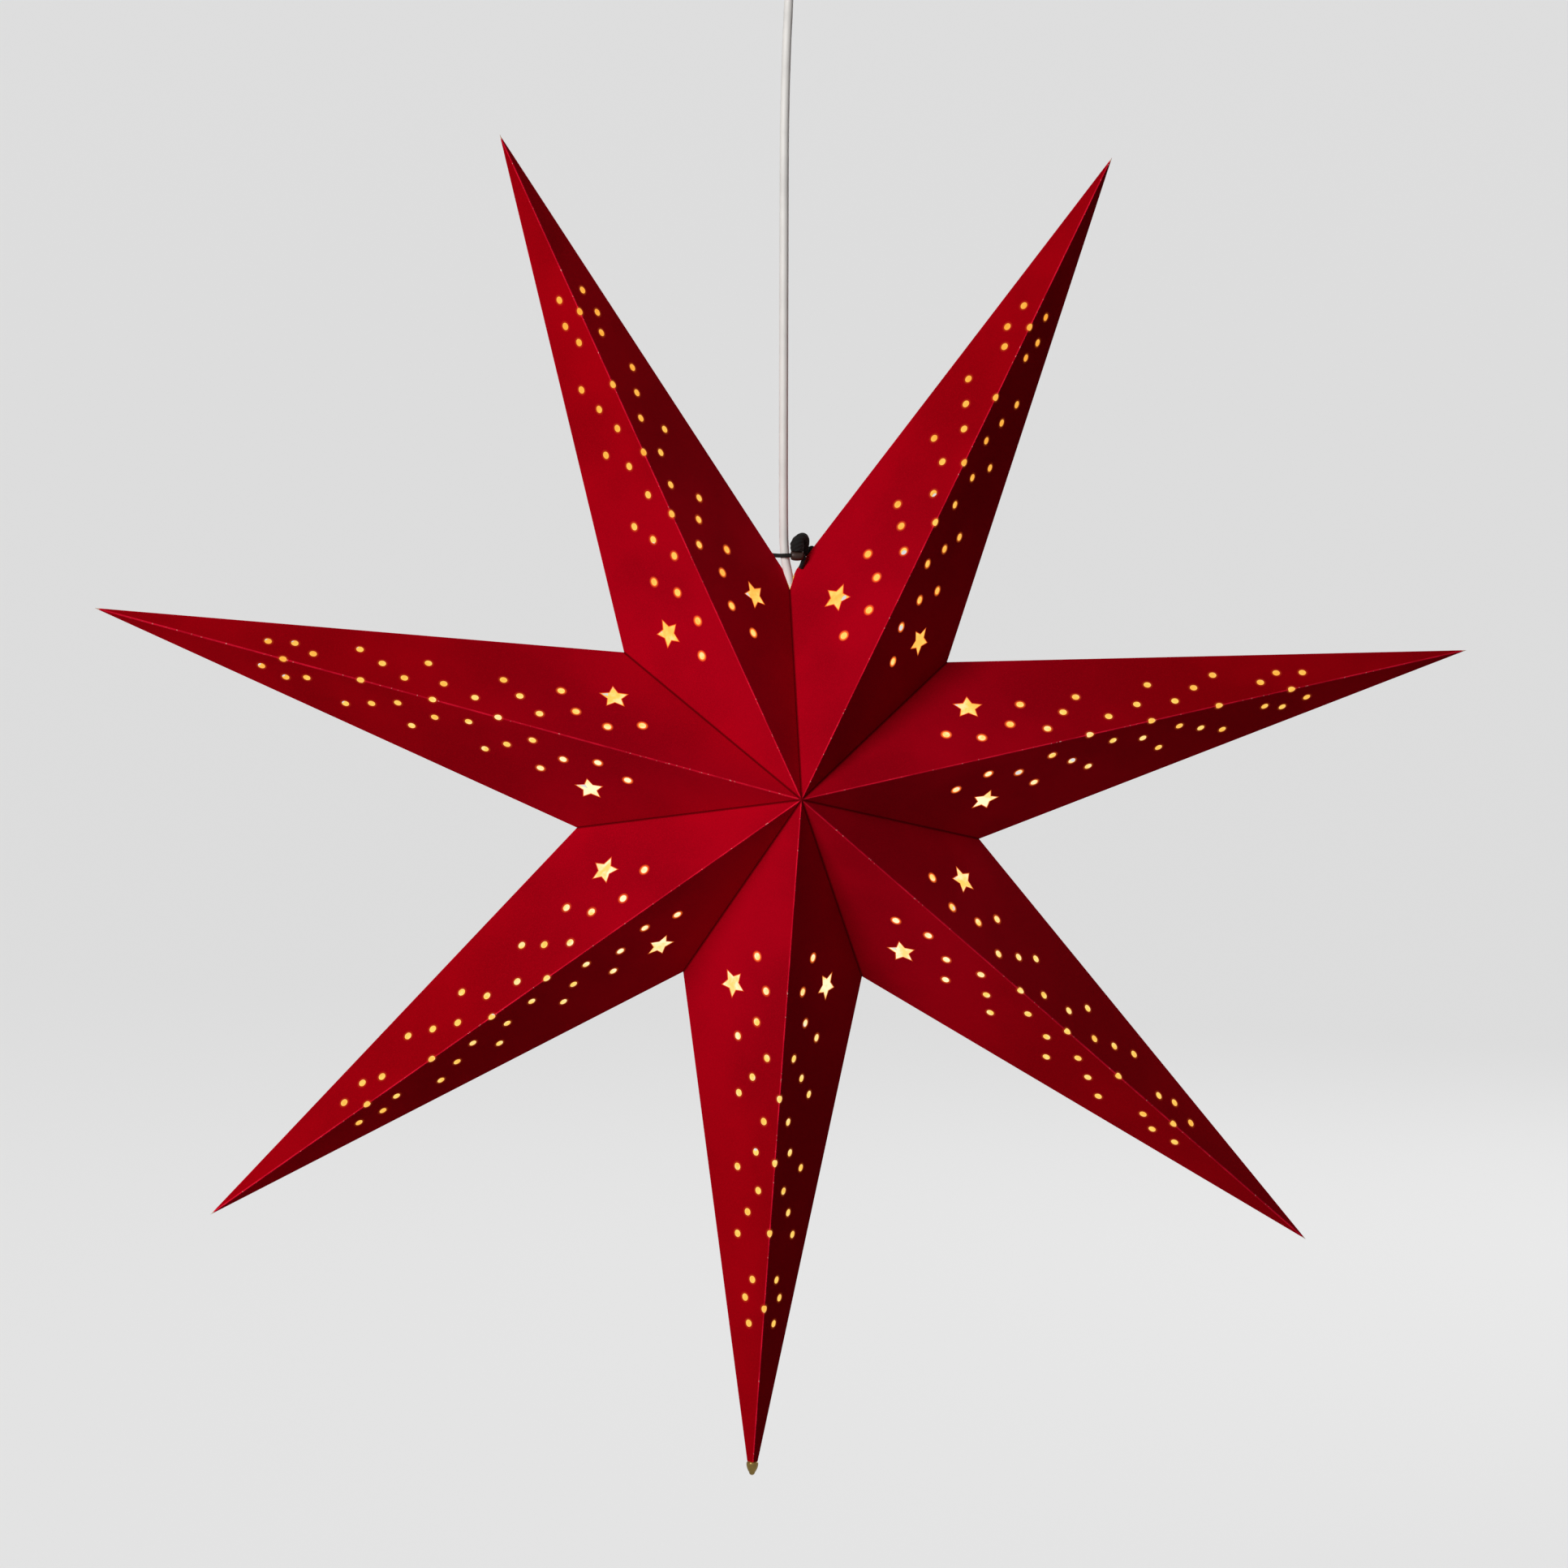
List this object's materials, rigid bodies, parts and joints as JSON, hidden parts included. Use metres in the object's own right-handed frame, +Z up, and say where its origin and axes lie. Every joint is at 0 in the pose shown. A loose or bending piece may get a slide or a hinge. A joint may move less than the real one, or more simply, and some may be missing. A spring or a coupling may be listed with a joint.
{
  "type": "paper advent star",
  "caption": "Pointed folding paper star lantern with punched holes and a lamp inside, hanging on its lamp cord from a round ceiling cup.",
  "frame": {"origin": "middle of the ceiling bracket's top face, which lies against the ceiling, on the line of the hanging cord", "axes": "+Z up, -Y out of the star's front, +X to the right seen from the front"},
  "size_m": [0.769, 0.1586, 0.939],
  "materials": {
    "paper": "matte",
    "brass": "polished",
    "steel": "satin",
    "white_enamel": "satin",
    "white_plastic": "matte",
    "white_cord": "satin",
    "black_elastic": "matte",
    "brown_bead": "gloss",
    "glass": "satin"
  },
  "bodies": {
    "ceiling": {"ceiling_cup": "white_enamel", "bracket": "steel", "ceiling_screw_left": "steel", "ceiling_screw_right": "steel", "cup_screw_left": "steel", "cup_screw_right": "steel", "terminal_block": "white_plastic", "terminal_screw_left": "brass", "terminal_screw_right": "brass", "cord_tail": "white_cord", "swivel_housing": "white_plastic", "housing_nut": "steel"},
    "swivel_ring": {"swivel_seat": "white_plastic"},
    "cord": {"swivel_ball": "white_plastic", "cord_sleeve": "white_plastic", "lamp_cord": "white_cord"},
    "lamp": {"lampholder_body": "white_plastic", "lampholder_cap": "white_plastic", "lampholder_ring": "white_plastic", "lampholder_contact": "brass", "tip_cap": "brass"},
    "bulb": {"bulb_base": "brass", "bulb_tip_contact": "steel", "bulb_glass": "glass", "bulb_stem": "white_plastic"},
    "arm_5_front_right": {"arm_5_front_right": "paper"},
    "arm_5_back_right": {"arm_5_back_right": "paper"},
    "arm_6_front_left": {"arm_6_front_left": "paper"},
    "arm_6_back_left": {"arm_6_back_left": "paper"},
    "arm_6_front_right": {"arm_6_front_right": "paper"},
    "arm_6_back_right": {"arm_6_back_right": "paper"},
    "arm_7_front_left": {"arm_7_front_left": "paper"},
    "arm_7_back_left": {"arm_7_back_left": "paper"},
    "arm_7_front_right": {"arm_7_front_right": "paper"},
    "arm_7_back_right": {"arm_7_back_right": "paper"},
    "arm_1_front_left": {"arm_1_front_left": "paper"},
    "arm_1_back_left": {"arm_1_back_left": "paper"},
    "arm_1_front_right": {"arm_1_front_right": "paper"},
    "arm_1_back_right": {"arm_1_back_right": "paper", "tie_string": "black_elastic"},
    "arm_5_front_left": {"arm_5_front_left": "paper"},
    "arm_5_back_left": {"arm_5_back_left": "paper"},
    "arm_4_front_right": {"arm_4_front_right": "paper"},
    "arm_4_back_right": {"arm_4_back_right": "paper"},
    "arm_4_front_left": {"arm_4_front_left": "paper"},
    "arm_4_back_left": {"arm_4_back_left": "paper"},
    "arm_3_front_right": {"arm_3_front_right": "paper"},
    "arm_3_back_right": {"arm_3_back_right": "paper"},
    "arm_3_front_left": {"arm_3_front_left": "paper"},
    "arm_3_back_left": {"arm_3_back_left": "paper"},
    "arm_2_front_right": {"arm_2_front_right": "paper"},
    "arm_2_back_right": {"arm_2_back_right": "paper"},
    "arm_2_front_left": {"arm_2_front_left": "paper"},
    "arm_2_back_left": {"arm_2_back_left": "paper", "tie_loop": "black_elastic"},
    "bead": {"tie_bead": "brown_bead"}
  },
  "joints": [
    {"name": "swing_front_back", "type": "hinge", "parent": "ceiling", "child": "swivel_ring", "pos_m": [0, 0, -0.032], "axis": [1, 0, 0], "range_deg": [-15, 15]},
    {"name": "swing_side", "type": "hinge", "parent": "swivel_ring", "child": "cord", "pos_m": [0, 0, -0.032], "axis": [0, 1, 0], "range_deg": [-15, 15]},
    {"name": "star_turn", "type": "hinge", "parent": "cord", "child": "lamp", "pos_m": [0, 0, -0.433], "axis": [0, 0, 1], "range_deg": [-180, 180]},
    {"name": "bulb_out", "type": "slide", "parent": "lamp", "child": "bulb", "axis": [0, 0, -1], "range_m": [0, 0.026]},
    {"name": "fold", "type": "hinge", "parent": "lamp", "child": "arm_5_front_right", "pos_m": [-0.00494, -0.08, -0.53], "axis": [-0.0411, 0.1952, -0.9799], "range_deg": [0, 36.57]},
    {"name": "arm_5_back_right_edge", "type": "hinge", "parent": "arm_5_front_right", "child": "arm_5_back_right", "pos_m": [-0.02178, 0, -0.93165], "axis": [-0.1292, 0, 0.9916], "range_deg": [0, 72.61]},
    {"name": "arm_6_front_left_valley", "type": "hinge", "parent": "arm_5_front_right", "child": "arm_6_front_left", "pos_m": [-0.00494, -0.08, -0.53], "axis": [0.39, -0.5612, 0.73], "range_deg": [0, 91.44]},
    {"name": "arm_6_back_left_edge", "type": "hinge", "parent": "arm_6_front_left", "child": "arm_6_back_left", "pos_m": [-0.32946, 0, -0.76726], "axis": [-0.8961, 0, -0.4438], "range_deg": [0, 72.61]},
    {"name": "arm_6_front_right_ridge", "type": "hinge", "parent": "arm_6_front_left", "child": "arm_6_front_right", "pos_m": [-0.00494, -0.08, -0.53], "axis": [-0.7917, 0.1952, -0.5789], "range_deg": [0, 73.16]},
    {"name": "arm_6_back_right_edge", "type": "hinge", "parent": "arm_6_front_right", "child": "arm_6_back_right", "pos_m": [-0.32946, 0, -0.76726], "axis": [0.6947, 0, 0.7193], "range_deg": [0, 72.61]},
    {"name": "arm_7_front_left_valley", "type": "hinge", "parent": "arm_6_front_right", "child": "arm_7_front_left", "pos_m": [-0.00494, -0.08, -0.53], "axis": [0.814, -0.5612, 0.1502], "range_deg": [0, 91.44]},
    {"name": "arm_7_back_left_edge", "type": "hinge", "parent": "arm_7_front_left", "child": "arm_7_back_left", "pos_m": [-0.39277, 0, -0.42421], "axis": [-0.9057, 0, 0.4239], "range_deg": [0, 72.61]},
    {"name": "arm_7_front_right_ridge", "type": "hinge", "parent": "arm_7_front_left", "child": "arm_7_front_right", "pos_m": [-0.00494, -0.08, -0.53], "axis": [-0.9462, 0.1952, 0.2581], "range_deg": [0, 73.16]},
    {"name": "arm_7_back_right_edge", "type": "hinge", "parent": "arm_7_front_right", "child": "arm_7_back_right", "pos_m": [-0.39277, 0, -0.42421], "axis": [0.9955, 0, -0.0947], "range_deg": [0, 72.61]},
    {"name": "arm_1_front_left_valley", "type": "hinge", "parent": "arm_7_front_right", "child": "arm_1_front_left", "pos_m": [-0.00494, -0.08, -0.53], "axis": [0.625, -0.5612, -0.5427], "range_deg": [0, 91.44]},
    {"name": "arm_1_back_left_edge", "type": "hinge", "parent": "arm_1_front_left", "child": "arm_1_back_left", "pos_m": [-0.16404, 0, -0.16082], "axis": [-0.2333, 0, 0.9724], "range_deg": [0, 72.61]},
    {"name": "arm_1_front_right_ridge", "type": "hinge", "parent": "arm_1_front_left", "child": "arm_1_front_right", "pos_m": [-0.00494, -0.08, -0.53], "axis": [-0.3882, 0.1952, 0.9007], "range_deg": [0, 73.16]},
    {"name": "arm_1_back_right_edge", "type": "hinge", "parent": "arm_1_front_right", "child": "arm_1_back_right", "pos_m": [-0.16404, 0, -0.16082], "axis": [0.5467, 0, -0.8374], "range_deg": [0, 72.61]},
    {"name": "arm_5_front_left_ridge", "type": "hinge", "parent": "lamp", "child": "arm_5_front_left", "pos_m": [-0.00494, -0.08, -0.53], "axis": [0.0411, -0.1952, 0.9799], "range_deg": [0, 36.59]},
    {"name": "arm_5_back_left_edge", "type": "hinge", "parent": "arm_5_front_left", "child": "arm_5_back_left", "pos_m": [-0.02178, 0, -0.93165], "axis": [-0.2117, 0, -0.9773], "range_deg": [0, 72.61]},
    {"name": "arm_4_front_right_valley", "type": "hinge", "parent": "arm_5_front_left", "child": "arm_4_front_right", "pos_m": [-0.00494, -0.08, -0.53], "axis": [0.3276, 0.5612, -0.7601], "range_deg": [0, 91.44]},
    {"name": "arm_4_back_right_edge", "type": "hinge", "parent": "arm_4_front_right", "child": "arm_4_back_right", "pos_m": [0.29858, 0, -0.79358], "axis": [-0.8558, 0, 0.5173], "range_deg": [0, 72.61]},
    {"name": "arm_4_front_left_ridge", "type": "hinge", "parent": "arm_4_front_right", "child": "arm_4_front_left", "pos_m": [-0.00494, -0.08, -0.53], "axis": [-0.7405, -0.1952, 0.6431], "range_deg": [0, 73.16]},
    {"name": "arm_4_back_left_edge", "type": "hinge", "parent": "arm_4_front_left", "child": "arm_4_back_left", "pos_m": [0.29858, 0, -0.79358], "axis": [0.6321, 0, -0.7749], "range_deg": [0, 72.61]},
    {"name": "arm_3_front_right_valley", "type": "hinge", "parent": "arm_4_front_left", "child": "arm_3_front_right", "pos_m": [-0.00494, -0.08, -0.53], "axis": [0.7985, 0.5612, -0.2178], "range_deg": [0, 91.44]},
    {"name": "arm_3_back_right_edge", "type": "hinge", "parent": "arm_3_front_right", "child": "arm_3_back_right", "pos_m": [0.39038, 0, -0.45704], "axis": [-0.938, 0, -0.3466], "range_deg": [0, 72.61]},
    {"name": "arm_3_front_left_ridge", "type": "hinge", "parent": "arm_3_front_right", "child": "arm_3_front_left", "pos_m": [-0.00494, -0.08, -0.53], "axis": [-0.9645, -0.1952, -0.178], "range_deg": [0, 73.16]},
    {"name": "arm_3_back_left_edge", "type": "hinge", "parent": "arm_3_front_left", "child": "arm_3_back_left", "pos_m": [0.39038, 0, -0.45704], "axis": [0.9999, 0, 0.0111], "range_deg": [0, 72.61]},
    {"name": "arm_2_front_right_valley", "type": "hinge", "parent": "arm_3_front_left", "child": "arm_2_front_right", "pos_m": [-0.00494, -0.08, -0.53], "axis": [0.6682, 0.5612, 0.4885], "range_deg": [0, 91.44]},
    {"name": "arm_2_back_right_edge", "type": "hinge", "parent": "arm_2_front_right", "child": "arm_2_back_right", "pos_m": [0.18449, 0, -0.17543], "axis": [-0.3138, 0, -0.9495], "range_deg": [0, 72.61]},
    {"name": "arm_2_front_left_ridge", "type": "hinge", "parent": "arm_2_front_right", "child": "arm_2_front_left", "pos_m": [-0.00494, -0.08, -0.53], "axis": [-0.4622, -0.1952, -0.865], "range_deg": [0, 73.16]},
    {"name": "arm_2_back_left_edge", "type": "hinge", "parent": "arm_2_front_left", "child": "arm_2_back_left", "pos_m": [0.18449, 0, -0.17543], "axis": [0.6148, 0, 0.7887], "range_deg": [0, 72.61]},
    {"name": "bead_slide", "type": "slide", "parent": "arm_1_back_right", "child": "bead", "axis": [-1, 0, 0], "range_m": [0, 0.0015]}
  ],
  "couplings": [
    {"joint": "arm_5_back_right_edge", "follows": "fold", "ratio": 1.985},
    {"joint": "arm_6_front_left_valley", "follows": "fold", "ratio": 2.5},
    {"joint": "arm_6_back_left_edge", "follows": "fold", "ratio": 1.985},
    {"joint": "arm_6_front_right_ridge", "follows": "fold", "ratio": 2},
    {"joint": "arm_6_back_right_edge", "follows": "fold", "ratio": 1.985},
    {"joint": "arm_7_front_left_valley", "follows": "fold", "ratio": 2.5},
    {"joint": "arm_7_back_left_edge", "follows": "fold", "ratio": 1.985},
    {"joint": "arm_7_front_right_ridge", "follows": "fold", "ratio": 2},
    {"joint": "arm_7_back_right_edge", "follows": "fold", "ratio": 1.985},
    {"joint": "arm_1_front_left_valley", "follows": "fold", "ratio": 2.5},
    {"joint": "arm_1_back_left_edge", "follows": "fold", "ratio": 1.985},
    {"joint": "arm_1_front_right_ridge", "follows": "fold", "ratio": 2},
    {"joint": "arm_1_back_right_edge", "follows": "fold", "ratio": 1.985},
    {"joint": "arm_5_front_left_ridge", "follows": "fold", "ratio": 1},
    {"joint": "arm_5_back_left_edge", "follows": "fold", "ratio": 1.985},
    {"joint": "arm_4_front_right_valley", "follows": "fold", "ratio": 2.5},
    {"joint": "arm_4_back_right_edge", "follows": "fold", "ratio": 1.985},
    {"joint": "arm_4_front_left_ridge", "follows": "fold", "ratio": 2},
    {"joint": "arm_4_back_left_edge", "follows": "fold", "ratio": 1.985},
    {"joint": "arm_3_front_right_valley", "follows": "fold", "ratio": 2.5},
    {"joint": "arm_3_back_right_edge", "follows": "fold", "ratio": 1.985},
    {"joint": "arm_3_front_left_ridge", "follows": "fold", "ratio": 2},
    {"joint": "arm_3_back_left_edge", "follows": "fold", "ratio": 1.985},
    {"joint": "arm_2_front_right_valley", "follows": "fold", "ratio": 2.5},
    {"joint": "arm_2_back_right_edge", "follows": "fold", "ratio": 1.985},
    {"joint": "arm_2_front_left_ridge", "follows": "fold", "ratio": 2},
    {"joint": "arm_2_back_left_edge", "follows": "fold", "ratio": 1.985}
  ]
}
